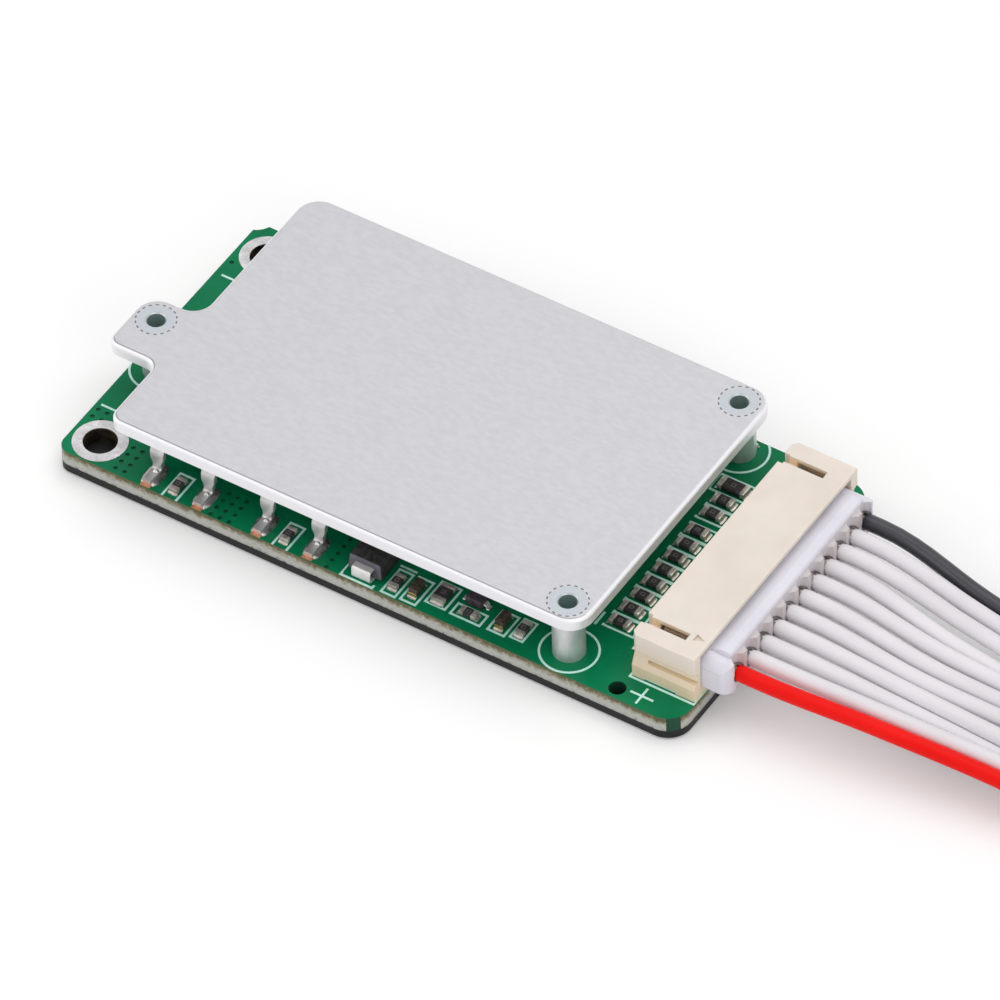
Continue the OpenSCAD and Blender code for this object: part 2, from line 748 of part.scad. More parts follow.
module clamp_diode_leads() {
    color("silver") translate([diode_x, front_y + 2.85, top_z]) for (a = [0, 180]) rotate(a)
        rotate([90, 0, 90]) translate([0, 0, -diode_lead_w / 2]) linear_extrude(diode_lead_w) polygon([
            [-2.35, 0], [-1.1, 0], [-1.1, 0.15], [-2.2, 0.15], [-2.2, 1.6], [-diode_l / 2, 1.6],
            [-diode_l / 2, 1.75], [-2.25, 1.75], [-2.35, 1.65]
        ]);
}

// Small two-ended diode along X, with a flat foot at each end
module signal_diode() {
    color("#262626") translate(signal_diode_place) translate([0, 0, top_z + 0.1])
        box([-0.85, -0.62, 0], [0.85, 0.62, 0.85]);
}

module signal_diode_leads() {
    color("silver") translate(signal_diode_place) translate([0, 0, top_z]) for (a = [0, 180]) rotate(a)
        rotate([90, 0, 0]) translate([0, 0, -0.15]) linear_extrude(0.3) polygon([
            [0.5, 0], [1.3, 0], [1.3, 0.15], [1.05, 0.15],
            [0.97, 0.45], [0.85, 0.45], [0.85, 0.1], [0.5, 0.1]
        ]);
}

// Two protection chips: middle, body size and number of leads on each side
ICS = [
    [along(0.32), front_y + 7.2, [4.9, 3.9, 1.45], 4, 1.27],
    [along(0.568), 4.4, [7.8, 4.4, 1.1], 12, 0.64]
];
ic_lead = [1, 0.3, 0.15];

module protection_ic(c) {
    color("#262626") translate([c[0], c[1], top_z + 0.1]) difference() {
        translate([-c[2][0] / 2, 0, 0]) rotate([90, 0, 90]) linear_extrude(c[2][0]) polygon([
            [-c[2][1] / 2 + 0.1, 0], [c[2][1] / 2 - 0.1, 0], [c[2][1] / 2, c[2][2] / 2],
            [c[2][1] / 2 - 0.15, c[2][2]], [-c[2][1] / 2 + 0.15, c[2][2]], [-c[2][1] / 2, c[2][2] / 2]
        ]);
        translate([-c[2][0] / 2 + 0.7, -c[2][1] / 2 + 0.8, c[2][2] - 0.08])
            cylinder(d = 0.6, h = 1, $fn = 24);
    }
}

module protection_ic_1() protection_ic(ICS[0]);
module protection_ic_2() protection_ic(ICS[1]);

// Side view of a lead of length l and thickness t that leaves at height h
module gull_wing(l, t, h) {
    polygon([
        [-l, 0], [-0.4 * l, 0], [-0.2 * l, h], [0, h], [0, h + t], [-0.35 * l, h + t], [-0.5 * l, t], [-l, t]
    ]);
}

module protection_ic_leads() {
    color("silver") for (c = ICS) translate([c[0], c[1], top_z]) for (a = [0, 180]) rotate(a)
        for (i = [0:c[3] - 1]) translate([(i - (c[3] - 1) / 2) * c[4] - ic_lead[1] / 2, -c[2][1] / 2, 0])
            rotate([90, 0, 90]) linear_extrude(ic_lead[1])
                gull_wing(ic_lead[0], ic_lead[2], c[2][2] / 2 - 0.05);
}

// Two flat metal shunts, bridging raised between their ends
module shunt_resistors() {
    color("dimgray") for (y = [-0.6, -4]) translate([plate_x1 - 5.6, y, top_z]) rotate([90, 0, 0])
        translate([0, 0, -1.5]) linear_extrude(3) polygon([
            [-3.2, 0], [-2, 0], [-1.8, 0.25], [1.8, 0.25], [2, 0], [3.2, 0],
            [3.2, 0.7], [-3.2, 0.7]
        ]);
}

// ---- Header ----

// Repeats its children at each pin
module at_pins() {
    for (i = [0:pins - 1]) translate([0, connector_y + (i - (pins - 1) / 2) * pitch, 0]) children();
}

// Mirrors its children to both ends of the connector
module at_both_ends() {
    translate([0, connector_y, 0]) for (s = [0, 1]) mirror([0, s, 0]) children();
}

module header_housing() {
    h2 = header_w / 2;
    color("antiquewhite") difference() {
        translate([0, connector_y, 0]) box([header_x0, -h2, top_z], [header_x1, h2, header_z1]);
        // Mouth that takes the plug
        translate([0, connector_y, 0])
            box([header_x0 + rear_wall, -cavity_w / 2, cavity_z0], [header_x1 + 1, cavity_w / 2, cavity_z1]);
        // Holes for the pins through the rear wall
        at_pins() box([header_x0 - 1, -pin_s / 2, pin_z - pin_s / 2],
            [header_x0 + rear_wall + 1, pin_s / 2, pin_z + pin_s / 2]);
        at_both_ends() {
            // Locking slot in the roof: a groove from the rear, then a pocket
            box([header_x0 - 1, slot_y, header_z1 - slot_depth],
                [header_x0 + slot_l, slot_y + slot_w, header_z1 + 1]);
            box([header_x0 + rear_wall, slot_y, cavity_z1 - 1],
                [header_x0 + slot_l, slot_y + slot_w, cavity_z1]);
            // Notch down the rear wall beside the slot
            box([header_x0 - 1, slot_y - 0.25, top_z - 1],
                [header_x0 + 0.45, slot_y + slot_w + 0.1, header_z1 + 1]);
            // Cut rear corner of the upper block
            translate([header_x0, h2, header_z1]) rotate(45)
                cube([0.6, 0.6, 2 * (header_h - 3.15)], center = true);
            // Groove along the outer side, with a sloping lower flank
            translate([header_x0 - 1, h2, top_z]) rotate([90, 0, 90]) linear_extrude(header_d + 2)
                polygon([[1, 1.2], [0, 1.3], [-0.55, 2.6], [-0.55, 2.95], [0, 3.15], [1, 3.15]]);
            box([header_x0 + 1.4, h2 - 0.65, top_z + 1.85], [header_x1 + 1, h2, top_z + 2.2]);
            // Pocket for the solder tab
            box([header_x0 + foot_x, h2 - foot_size[1], top_z - 1],
                [header_x0 + foot_x + foot_size[0], h2 + 1, top_z + foot_size[2]]);
            // Dimple in the end face
            translate([header_x1 - 0.55, h2 - 0.35, top_z + 2.8]) sphere(d = 0.5, $fn = 24);
        }
        // Triangular recess that marks the first pin
        translate([header_x1 - 0.9, connector_y - span / 2 - 0.4, header_z1 - 0.25]) linear_extrude(1)
            polygon([[-0.45, -0.4], [0.45, 0], [-0.45, 0.4]]);
    }
}

// Bent square pins: contact, run down the rear wall, tail on the board
module header_pins() {
    s = pin_s;
    color("gold") at_pins() {
        box([header_x0 - s, -s / 2, pin_z - s / 2], [pin_x1, s / 2, pin_z + s / 2]);
        box([header_x0 - s, -s / 2, top_z], [header_x0, s / 2, pin_z]);
        box([header_x0 - pin_tail, -s / 2, top_z], [header_x0, s / 2, top_z + pin_tail_t]);
    }
}

module header_tabs() {
    h2 = header_w / 2;
    color("silver") at_both_ends()
        translate([header_x0 + foot_x, h2 - foot_size[1], top_z]) cube(foot_size);
}

// ---- Plug and wires ----

module plug_housing() {
    color("white") difference() {
        union() {
            // Middle block with the thumb ridge outside the header
            translate([0, connector_y + ridge_w / 2, 0]) rotate([90, 0, 0]) linear_extrude(ridge_w) polygon([
                [plug_x0, plug_z0], [plug_x1, plug_z0], [plug_x1, fin_z - 0.25],
                [plug_x1 - 0.1, fin_z - 0.05], [plug_x1 - 0.25, fin_z],
                [plug_x1 - 0.42, fin_z + 0.05], [plug_x1 - 0.47, plug_z1 - 0.4],
                [plug_x1 - 0.55, plug_z1 - 0.1], [plug_x1 - 0.72, plug_z1 + 0.08],
                [plug_x1 - 0.95, plug_z1 + 0.15], [plug_x1 - 1.5, plug_z1 + 0.15],
                [plug_x1 - 2, plug_z1 - 0.05], [header_x1 + 0.05, plug_z1 - 0.3], [plug_x0, plug_z1 - 0.3]
            ]);
            // Full-width base, higher at the end blocks outside the header
            plug_base(plug_x0, rail_z, 0);
            plug_base(header_x0 + slot_l, end_z, end_r);
        }
        at_pins() {
            translate([box_x1 - eps, 0, pin_z]) rotate([0, 90, 0]) cylinder(d = bore_d, h = plug_x1);
            box([contact_x0, -box_s / 2, pin_z - box_s / 2], [box_x1, box_s / 2, pin_z + box_s / 2]);
            box([plug_x0 - 1, -pin_s / 2 - 0.1, pin_z - pin_s / 2 - 0.1],
                [contact_x0 + eps, pin_s / 2 + 0.1, pin_z + pin_s / 2 + 0.1]);
            // Round notch that opens the bore upwards at the rear
            translate([plug_x1 - mouth_d + bore_d / 2, 0, pin_z]) cylinder(d = bore_d - 0.1, h = plug_z1);
        }
    }
}

// A block of the plug from x0 to the rear, with rounded upper ends of radius
// r and rounded rear corners
module plug_base(x0, z1, r) {
    intersection() {
        translate([x0, connector_y, 0]) rotate([90, 0, 90]) linear_extrude(plug_x1 - x0) outline([
            [-plug_w / 2, plug_z0, 0], [plug_w / 2, plug_z0, 0], [plug_w / 2, z1, r], [-plug_w / 2, z1, r]
        ]);
        translate([0, connector_y, plug_z0]) linear_extrude(z1 - plug_z0) plug_plan(1);
    }
}

// The plug's outline from above, about the connector's middle
module plug_plan(r) {
    l = plug_x1 - plug_x0;
    difference() {
        translate([plug_x0, -plug_w / 2]) square([l, plug_w]);
        for (s = [-1, 1]) translate([plug_x1 - r, s * (plug_w / 2 - r)]) difference() {
            translate([0, s > 0 ? 0 : -2 * r]) square(2 * r);
            circle(r = r);
        }
    }
}

// Stamped contacts: box round the pin, barrel crimped on the wire
module crimp_contacts() {
    color("gold") at_pins() difference() {
        union() {
            box([contact_x0, -box_s / 2, pin_z - box_s / 2], [box_x1, box_s / 2, pin_z + box_s / 2]);
            translate([box_x1 - eps, 0, pin_z]) rotate([0, 90, 0])
                cylinder(d = bore_d, h = contact_x1 - box_x1 + eps);
        }
        box([contact_x0 - 1, -pin_s / 2, pin_z - pin_s / 2], [pin_x1, pin_s / 2, pin_z + pin_s / 2]);
    }
}

// Direction of a route at point i: along X at the crimp, then the mean of the
// two sections that meet there
function heading(route, i) =
    i == 0 ? [1, 0, 0]
    : i == len(route) - 1 ? unit(route[i] - route[i - 1])
    : unit(unit(route[i] - route[i - 1]) + unit(route[i + 1] - route[i]));

// A ring of points round a route's point, square to its direction
function ring(route, i) =
    let (t = heading(route, i), u = unit(cross([0, 0, 1], t)), v = cross(t, u))
    [for (k = [0:wire_sides - 1]) let (a = 360 * (k + 0.5) / wire_sides)
        route[i] + wire_d / 2 * (cos(a) * u + sin(a) * v)];

// Joins rings of points, each list as long as the next, into one closed tube
module skin(rings) {
    n = len(rings[0]);
    k = len(rings);
    polyhedron(
        points = [for (ring = rings) each ring],
        faces = concat(
            [[for (i = [n - 1:-1:0]) i]],
            [for (j = [0:k - 2]) for (i = [0:n - 1])
                [j * n + i, j * n + (i + 1) % n, (j + 1) * n + (i + 1) % n, (j + 1) * n + i]],
            [[for (i = [0:n - 1]) (k - 1) * n + i]]
        )
    );
}

// Wire i starts face to face with its crimp and leaves the plug straight
module wire(i) {
    y = connector_y + (i - (pins - 1) / 2) * pitch;
    route = concat([[contact_x1, y, pin_z], [plug_x1 + 1.5, y, pin_z]], WIRE_ROUTES[i]);
    if (i < pins) color(WIRE_COLOURS[i]) skin([for (k = [0:len(route) - 1]) ring(route, k)]);
}

module wire_01() wire(0);
module wire_02() wire(1);
module wire_03() wire(2);
module wire_04() wire(3);
module wire_05() wire(4);
module wire_06() wire(5);
module wire_07() wire(6);
module wire_08() wire(7);
module wire_09() wire(8);
module wire_10() wire(9);
module wire_11() wire(10);

circuit_board();
board_legend();
terminal_rings();
insulating_sheet();
heat_plate();
standoff_front();
standoff_back();
standoff_tab();
standoff_screws();
thermal_pad();
mosfet_case_1();
mosfet_case_2();
mosfet_case_3();
mosfet_case_4();
mosfet_frame_1();
mosfet_frame_2();
mosfet_frame_3();
mosfet_frame_4();
solder_joints();
gate_resistors();
gate_resistor_ends();
balance_resistors();
balance_resistor_ends();
clamp_diode();
clamp_diode_leads();
filter_resistors();
filter_resistor_ends();
filter_capacitors();
filter_capacitor_ends();
signal_diode();
signal_diode_leads();
protection_ic_1();
protection_ic_2();
protection_ic_leads();
shunt_resistors();
header_housing();
header_pins();
header_tabs();
plug_housing();
crimp_contacts();
wire_01();
wire_02();
wire_03();
wire_04();
wire_05();
wire_06();
wire_07();
wire_08();
wire_09();
wire_10();
wire_11();
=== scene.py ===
import math
import bmesh
import bpy
from mathutils import Matrix, Vector


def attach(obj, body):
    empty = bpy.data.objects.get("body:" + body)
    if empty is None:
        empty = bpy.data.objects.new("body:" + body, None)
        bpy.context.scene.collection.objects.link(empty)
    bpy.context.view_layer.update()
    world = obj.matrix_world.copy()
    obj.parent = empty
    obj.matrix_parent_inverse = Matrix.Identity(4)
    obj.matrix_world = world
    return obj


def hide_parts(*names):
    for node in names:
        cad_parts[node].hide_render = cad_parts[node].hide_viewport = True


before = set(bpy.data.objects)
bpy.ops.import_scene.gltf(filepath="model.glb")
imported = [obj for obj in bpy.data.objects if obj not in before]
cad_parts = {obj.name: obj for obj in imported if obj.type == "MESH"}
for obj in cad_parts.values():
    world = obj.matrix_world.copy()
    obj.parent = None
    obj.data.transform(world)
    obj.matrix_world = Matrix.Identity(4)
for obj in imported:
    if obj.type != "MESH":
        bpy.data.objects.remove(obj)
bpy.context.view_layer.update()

# ---- Camera ----
# A long lens from the front right, about a metre away and 46 degrees up,
# with the wires running off to the lower right.

turn, rise, roll = math.radians(33.815), math.radians(46.142), math.radians(-1.838)
across = Vector((math.cos(turn), math.sin(turn), 0))
towards = Vector((math.sin(turn) * math.cos(rise), -math.cos(turn) * math.cos(rise), math.sin(rise)))
upward = towards.cross(across)
side = math.cos(roll) * across + math.sin(roll) * upward
top = -math.sin(roll) * across + math.cos(roll) * upward
axes = Matrix((side, top, towards)).transposed()
stand_off = Vector((0.002942, -0.000945, 1.05219))
camera = bpy.data.objects.new("camera", bpy.data.cameras.new("camera"))
camera.data.sensor_width = 36
camera.data.lens = 454.87
camera.data.clip_start = 0.05
camera.data.clip_end = 20
camera.matrix_world = Matrix.Translation(axes @ stand_off) @ axes.to_4x4()
bpy.context.scene.collection.objects.link(camera)
bpy.context.scene.camera = camera

# ---- Black insulating sheet ----
# A 0.8 mm sheet of black flame-proof plastic, punched to the board's outline
# and stuck to its underside so that nothing shorts to a cell.


def feed(socket, value):
    """Joins a socket to another node's output, or sets its own value."""
    if isinstance(value, bpy.types.NodeSocket):
        socket.id_data.links.new(value, socket)
    else:
        socket.default_value = value


def add(m, kind, **values):
    """Adds a node; each value is a number or the output of another node."""
    made = m.node_tree.nodes.new("ShaderNode" + kind)
    for name, value in values.items():
        feed(made.inputs[name.replace("_", " ")], value)
    return made


def skin(m, socket):
    """A socket of the surface itself."""
    return m.node_tree.nodes["Principled BSDF"].inputs[socket]


def shades(m, value, steps):
    """A run of colours, each at its own value from 0 to 1."""
    run = add(m, "ValToRGB", Fac=value)
    stops = run.color_ramp.elements
    for k, (at, colour) in enumerate(steps):
        stop = stops[k] if k < 2 else stops.new(at)
        stop.position = at
        stop.color = (*colour, 1)
    return run.outputs["Color"]


def finish(name, dark, light, grain, rough=(0.4, 0.5), bump=0.1, metal=0.0, stretch=(1, 1, 1),
           fine=6.0, shine=0.5, edge=0.0):
    """A mottled, slightly uneven surface: two colours, a grain in metres and a fine bump."""
    m = bpy.data.materials.new(name)
    m.use_nodes = True
    spread = add(m, "Mapping", Vector=add(m, "TexCoord").outputs["Object"], Scale=stretch).outputs["Vector"]
    cloud = add(m, "TexNoise", Vector=spread, Scale=1 / grain, Detail=5).outputs["Fac"]
    gloss = add(m, "MapRange", Value=cloud, To_Min=rough[0], To_Max=rough[1])
    speck = add(m, "TexNoise", Vector=spread, Scale=fine / grain, Detail=3).outputs["Fac"]
    relief = add(m, "Bump", Strength=bump, Distance=0.00005, Height=speck)
    if edge:
        feed(relief.inputs["Normal"], add(m, "Bevel", Radius=edge).outputs["Normal"])
    feed(skin(m, "Base Color"), shades(m, cloud, [(0.35, dark), (0.65, light)]))
    feed(skin(m, "Roughness"), gloss.outputs["Result"])
    feed(skin(m, "Normal"), relief.outputs["Normal"])
    feed(skin(m, "Metallic"), metal)
    feed(skin(m, "Specular IOR Level"), shine)
    return m


def dress(node, material):
    """Puts a material on a solid whose shape is already right."""
    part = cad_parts[node]
    if not part.material_slots:
        part.data.materials.append(material)
    for s in part.material_slots:
        s.material = material


black_sheet = finish("black_sheet", (0.004, 0.004, 0.005), (0.011, 0.011, 0.012), 0.002,
                     rough=(0.4, 0.55), bump=0.3, shine=0.3)
dress("insulating_sheet", black_sheet)

# ---- Circuit board ----
# A 1.5 mm glass-fibre laminate, green solder mask over the copper on top and
# bare pale fibre at the sawn edges. The large holes take the pack cables.

mm = 0.001
sheet_top = 0.8
board_top = 2.3
board_half_l, board_half_w = 30.5, 15.5


def maths(m, operation, *values):
    made = m.node_tree.nodes.new("ShaderNodeMath")
    made.operation = operation
    for socket, value in zip(made.inputs, values):
        feed(socket, value)
    return made.outputs["Value"]


def ramp(m, value, start, stop):
    """Rises from 0 at the start to 1 at the stop, and stays there."""
    return add(m, "MapRange", Value=value, From_Min=start, From_Max=stop).outputs["Result"]


def all_of(m, mask, *others):
    """A mask that is 1 only where each of these is."""
    for other in others:
        mask = maths(m, "MULTIPLY", mask, other)
    return mask


def point(m):
    """X, Y and Z of a point on the piece, in metres."""
    return add(m, "SeparateXYZ", Vector=add(m, "TexCoord").outputs["Object"]).outputs


def facing(m):
    """X, Y and Z of the direction in which the surface faces."""
    return add(m, "SeparateXYZ", Vector=add(m, "NewGeometry").outputs["Normal"]).outputs


def cover(m, mask, under, over):
    """The second colour laid over the first where the mask is 1."""
    layer = m.node_tree.nodes.new("ShaderNodeMix")
    layer.data_type = "RGBA"
    feed(layer.inputs["Factor"], mask)
    feed(layer.inputs["A"], under)
    feed(layer.inputs["B"], over if isinstance(over, bpy.types.NodeSocket) else (*over, 1))
    return layer.outputs["Result"]


def paint_over(m, mask, colour):
    """Lays one more colour over those that the surface has so far."""
    base = skin(m, "Base Color")
    feed(base, cover(m, mask, base.links[0].from_socket, colour))


mask_green = finish("solder_mask", (0.0018, 0.172, 0.068), (0.0030, 0.215, 0.086), 0.004,
                    rough=(0.2, 0.32), bump=0.12, fine=12, shine=0.12)
x, y, z = point(mask_green)
# Painted shade: down in the small drilled holes the green is painted darker
paint_over(mask_green, maths(mask_green, "LESS_THAN", z, (board_top - 0.04) * mm), (0.004, 0.09, 0.043))
# Sawn edge: pale woven fibre with a brown scorch at the top
height = ramp(mask_green, z, sheet_top * mm, board_top * mm)
fray = add(mask_green, "TexNoise", Vector=add(mask_green, "TexCoord").outputs["Object"],
           Scale=2300, Detail=8, Roughness=0.7).outputs["Fac"]
weave = maths(mask_green, "MULTIPLY_ADD", fray, 0.9, maths(mask_green, "MULTIPLY_ADD", height, 0.75, -0.12))
fibre = shades(mask_green, weave, [
    (0.24, (0.12, 0.12, 0.10)), (0.36, (0.44, 0.45, 0.41)), (0.60, (0.52, 0.53, 0.49)),
    (0.78, (0.38, 0.36, 0.29)), (0.90, (0.22, 0.19, 0.11)), (1.0, (0.12, 0.12, 0.06)),
])
# The walls of the holes, away from the outline, are plated and dark
drilled = all_of(mask_green,
                 maths(mask_green, "LESS_THAN", maths(mask_green, "ABSOLUTE", x), (board_half_l - 0.3) * mm),
                 maths(mask_green, "LESS_THAN", maths(mask_green, "ABSOLUTE", y), (board_half_w - 0.25) * mm))
upright = maths(mask_green, "LESS_THAN", facing(mask_green)["Z"], 0.5)
paint_over(mask_green, upright, cover(mask_green, drilled, fibre, (0.016, 0.07, 0.04)))
dress("circuit_board", mask_green)

# ---- Printed legend ----
# White ink, screen printed 0.04 mm thick: rings round the standoffs, boxes
# round the chips and a plus mark beside the plug.

ink = finish("ink", (0.54, 0.90, 0.79), (0.68, 0.96, 0.90), 0.0008,
             rough=(0.5, 0.65), bump=0.3, fine=3, shine=0.3)
dress("board_legend", ink)

# ---- Cable holes ----
# Copper rings round the two big holes, dipped in tin, with plated walls.

cable_holes = ((-27.7, -13.0), (-27.7, 12.4))
cable_hole_r = 1.5
plating_t = 0.04

tin = finish("tinned_copper", (0.50, 0.49, 0.50), (0.66, 0.65, 0.66), 0.0012,
             rough=(0.18, 0.34), bump=0.5, metal=0.9, fine=4)
dress("terminal_rings", tin)


def piece(name, bm, material, slot, *nodes, soft=35):
    """Makes a piece from a mesh built in millimetres; it stands for the named solids."""
    bmesh.ops.scale(bm, vec=(mm, mm, mm), verts=bm.verts)
    bmesh.ops.recalc_face_normals(bm, faces=bm.faces)
    mesh = bpy.data.meshes.new(name)
    bm.to_mesh(mesh)
    bm.free()
    mesh.shade_smooth()
    mesh.set_sharp_from_angle(angle=math.radians(soft))
    part = bpy.data.objects.new(name, mesh)
    bpy.context.scene.collection.objects.link(part)
    for m in material if isinstance(material, (list, tuple)) else [material]:
        mesh.materials.append(m)
    if nodes:
        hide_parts(*nodes)
    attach(part, "root")
    return part


def skin_rows(bm, rows, closed=False):
    """Joins each row of points to the next one with faces."""
    for a, b in zip(rows, rows[1:]):
        for i in range(len(a) if closed else len(a) - 1):
            j = (i + 1) % len(a)
            bm.faces.new((a[i], a[j], b[j], b[i]))


def tube(bm, middle, outer, inner, z0, z1, sides=48):
    """An upright tube between two heights."""
    rings = []
    for r, z in ((outer, z0), (outer, z1), (inner, z1), (inner, z0)):
        angles = [2 * math.pi * k / sides for k in range(sides)]
        rings.append([bm.verts.new((middle[0] + r * math.cos(a), middle[1] + r * math.sin(a), z))
                      for a in angles])
    skin_rows(bm, rings + rings[:1], closed=True)


walls = bmesh.new()
for middle in cable_holes:
    tube(walls, middle, cable_hole_r, cable_hole_r - plating_t, sheet_top, board_top)
old_copper = finish("hole_wall", (0.05, 0.045, 0.035), (0.16, 0.13, 0.09), 0.0009,
                    rough=(0.35, 0.55), bump=0.6, metal=0.8)
piece("plated_walls", walls, old_copper, "solder")

# ---- Heat plate ----
# A 1.2 mm aluminium plate, punched, tumbled to a satin face and clear
# anodised; the punch leaves a rolled edge, whose brightness is a painted highlight.

satin = finish("satin_aluminium", (0.515, 0.509, 0.534), (0.552, 0.546, 0.571), 0.0004,
               rough=(0.36, 0.46), bump=0.3, metal=0.6, stretch=(0.5, 1, 1), fine=4)
_, front_back, up = facing(satin)
# Painted highlight: the faces that turn down from the top are painted a bright near-white
paint_over(satin, ramp(satin, up, 0.99, 0.8), (0.86, 0.85, 0.88))
# A thin line of painted shade runs along the front, where the face starts to turn over
turning = all_of(satin, maths(satin, "LESS_THAN", up, 0.996), maths(satin, "GREATER_THAN", up, 0.93))
to_front = maths(satin, "LESS_THAN", front_back, -0.08)
paint_over(satin, all_of(satin, turning, to_front), (0.30, 0.29, 0.30))
dress("heat_plate", satin)

# ---- Standoffs and screws ----
# Nickel-plated steel standoffs, their knurled collars pressed into the plate,
# with an open M2 thread; low screws hold them from below.

standoffs = {"standoff_front": (18.5, -12.9), "standoff_back": (18.5, 13.7), "standoff_tab": (-28.15, -3.45)}
crown_z = 8.2
tooth_root_r = 1.68
bore_r = 0.82


def turned_steel(name):
    """Satin plated steel, drawn a little along its height."""
    return finish(name, (0.56, 0.57, 0.57), (0.68, 0.69, 0.69), 0.0007,
                  rough=(0.38, 0.5), bump=0.35, metal=0.7, stretch=(1, 1, 0.3), fine=4)


for node, middle in standoffs.items():
    steel = turned_steel(node + "_steel")
    x, y, z = point(steel)
    dx, dy = maths(steel, "SUBTRACT", x, middle[0] * mm), maths(steel, "SUBTRACT", y, middle[1] * mm)
    squares = maths(steel, "ADD", maths(steel, "MULTIPLY", dx, dx), maths(steel, "MULTIPLY", dy, dy))
    out = maths(steel, "SQRT", squares)
    # A blue-grey crown, painted shade on the collar's teeth, which are painted dark, and painted shade in the
    # bore, a dimmer grey-green
    crown = maths(steel, "GREATER_THAN", z, crown_z * mm)
    tips = all_of(steel, maths(steel, "GREATER_THAN", out, tooth_root_r * mm), crown)
    paint_over(steel, crown, (0.47, 0.50, 0.53))
    # Painted shade: the collar's teeth are painted dark
    paint_over(steel, tips, (0.13, 0.13, 0.15))
    # Painted shade: the bore is painted a dimmer grey-green
    paint_over(steel, maths(steel, "LESS_THAN", out, bore_r * mm), (0.44, 0.55, 0.53))
    dress(node, steel)
dress("standoff_screws", turned_steel("screw_steel"))

# ---- Power transistors ----
# Four transistors in black moulded cases, soldered flat with their copper
# tabs down, under a soft grey-blue silicone pad.

# Middle of each transistor along the board, and its side: 1 at the front
transistors = {1: (-19.1, 1), 2: (-8.15, 1), 3: (-19.1, -1), 4: (-8.15, -1)}
lead_tip_y = 15.25
outer_leads = (-2.54, 2.54)
lead_t = 0.48

epoxy = finish("moulded_epoxy", (0.022, 0.021, 0.023), (0.04, 0.038, 0.042), 0.0015,
               rough=(0.5, 0.65), bump=0.5)
silicone = finish("silicone", (0.25, 0.32, 0.42), (0.32, 0.39, 0.5), 0.002, rough=(0.6, 0.75), bump=0.4)
dress("thermal_pad", silicone)
for k in transistors:
    dress(f"mosfet_case_{k}", epoxy)


def upright_place(x, y, z, degrees=0.0):
    """A place on the board, turned about the vertical."""
    return Matrix.Translation((x, y, z)) @ Matrix.Rotation(math.radians(degrees), 4, "Z")


def lead_tips(x, side_of):
    """Middle of a transistor's lead tips; its y runs in under the case."""
    return upright_place(x, -lead_tip_y * side_of, board_top, 0 if side_of > 0 else 180)


def slab(bm, a, b, soft=0.0, steps=2, turn=None):
    """A block between two corners with its edges rounded."""
    made = bmesh.ops.create_cube(bm, size=1)["verts"]
    for v in made:
        v.co = Vector([(a[i] + b[i]) / 2 + v.co[i] * (b[i] - a[i]) for i in range(3)])
    if soft:
        edges = list({e for v in made for e in v.link_edges})
        out = bmesh.ops.bevel(bm, geom=edges, offset=soft, segments=steps, profile=0.5,
                              affect="EDGES", clamp_overlap=True)
        made = list({v for f in out["faces"] for v in f.verts} | {v for v in made if v.is_valid})
    if turn is not None:
        for v in made:
            v.co = turn @ v.co
    return made


def arc(middle, r, a0, a1, steps=6):
    """Points on an arc between two angles in degrees."""
    angles = [math.radians(a0 + (a1 - a0) * k / steps) for k in range(steps + 1)]
    return [(middle[0] + r * math.cos(a), middle[1] + r * math.sin(a)) for a in angles]


def strip(bm, path, widths, thick, place):
    """A flat strip bent along a side profile, path of (y, z) with the width at each point."""
    points = [Vector(p) for p in path]
    corner = 0.06
    chamfer = 1 - 2 * corner / thick
    rows = []
    for k, p in enumerate(points):
        way = (points[min(k + 1, len(points) - 1)] - points[max(k - 1, 0)]).normalized()
        up = Vector((-way[1], way[0])) * thick / 2
        w = widths[k] / 2
        outline = [(-w, chamfer), (-w + corner, 1), (w - corner, 1), (w, chamfer),
                   (w, -chamfer), (w - corner, -1), (-w + corner, -1), (-w, -chamfer)]
        rows.append([bm.verts.new(place @ Vector((x, p[0] + up[0] * s, p[1] + up[1] * s)))
                     for x, s in outline])
    skin_rows(bm, rows, closed=True)
    bm.faces.new(rows[0])
    bm.faces.new(rows[-1][::-1])


# Side view of an outer lead: out of the case, over the bend, down, and along the foot
lead_path = [(5.6, 2.65), (3.0, 2.65)] + arc((2.45, 2.15), 0.5, 90, 180, 7)
lead_path += [(1.95, 1.6), (1.95, 1.3), (1.95, 1.0), (1.95, 0.75)]
lead_path += arc((1.45, 0.75), 0.5, 0, -90) + [(0.9, 0.25), (0.35, 0.25), (0.12, 0.25)]
# Wide at the shoulder, narrow from there down, and tapered at the tip
lead_widths = [1.35 if z > 1.45 else 1.1 if z > 1.2 else 0.9 for y, z in lead_path]
lead_widths[-1] = 0.8

lead_tin = finish("lead_tin", (0.56, 0.55, 0.55), (0.68, 0.67, 0.67), 0.0014,
                  rough=(0.28, 0.42), bump=0.3, metal=0.7, fine=4)
for k, (x, side_of) in transistors.items():
    tips = lead_tips(x, side_of)
    leads = bmesh.new()
    slab(leads, (-5.1, 7.8, 0.0), (5.1, 15.2, 1.27), 0.12, turn=tips)
    for s in outer_leads:
        strip(leads, lead_path, lead_widths, lead_t, tips @ Matrix.Translation((s, 0, 0)))
    # The middle lead is cut off short
    slab(leads, (-0.67, 4.0, 2.4), (0.67, 5.6, 2.9), 0.06, turn=tips)
    piece(f"lead_frame_{k}", leads, lead_tin, "solder", f"mosfet_frame_{k}")

# ---- Solder ----
# Bright tin-lead mounds that climb the outer legs, domed where they run out
# to the board's edge, with a little bare copper left at the edge.

mound_start, mound_l = 0.1, 2.63
mound_half_w = 0.88
mound_h = 0.33
leg_y = 1.45
ball_h = 0.42

solder = finish("solder", (0.34, 0.32, 0.30), (0.62, 0.60, 0.58), 0.0009,
                rough=(0.16, 0.38), bump=0.6, metal=0.85, fine=3)


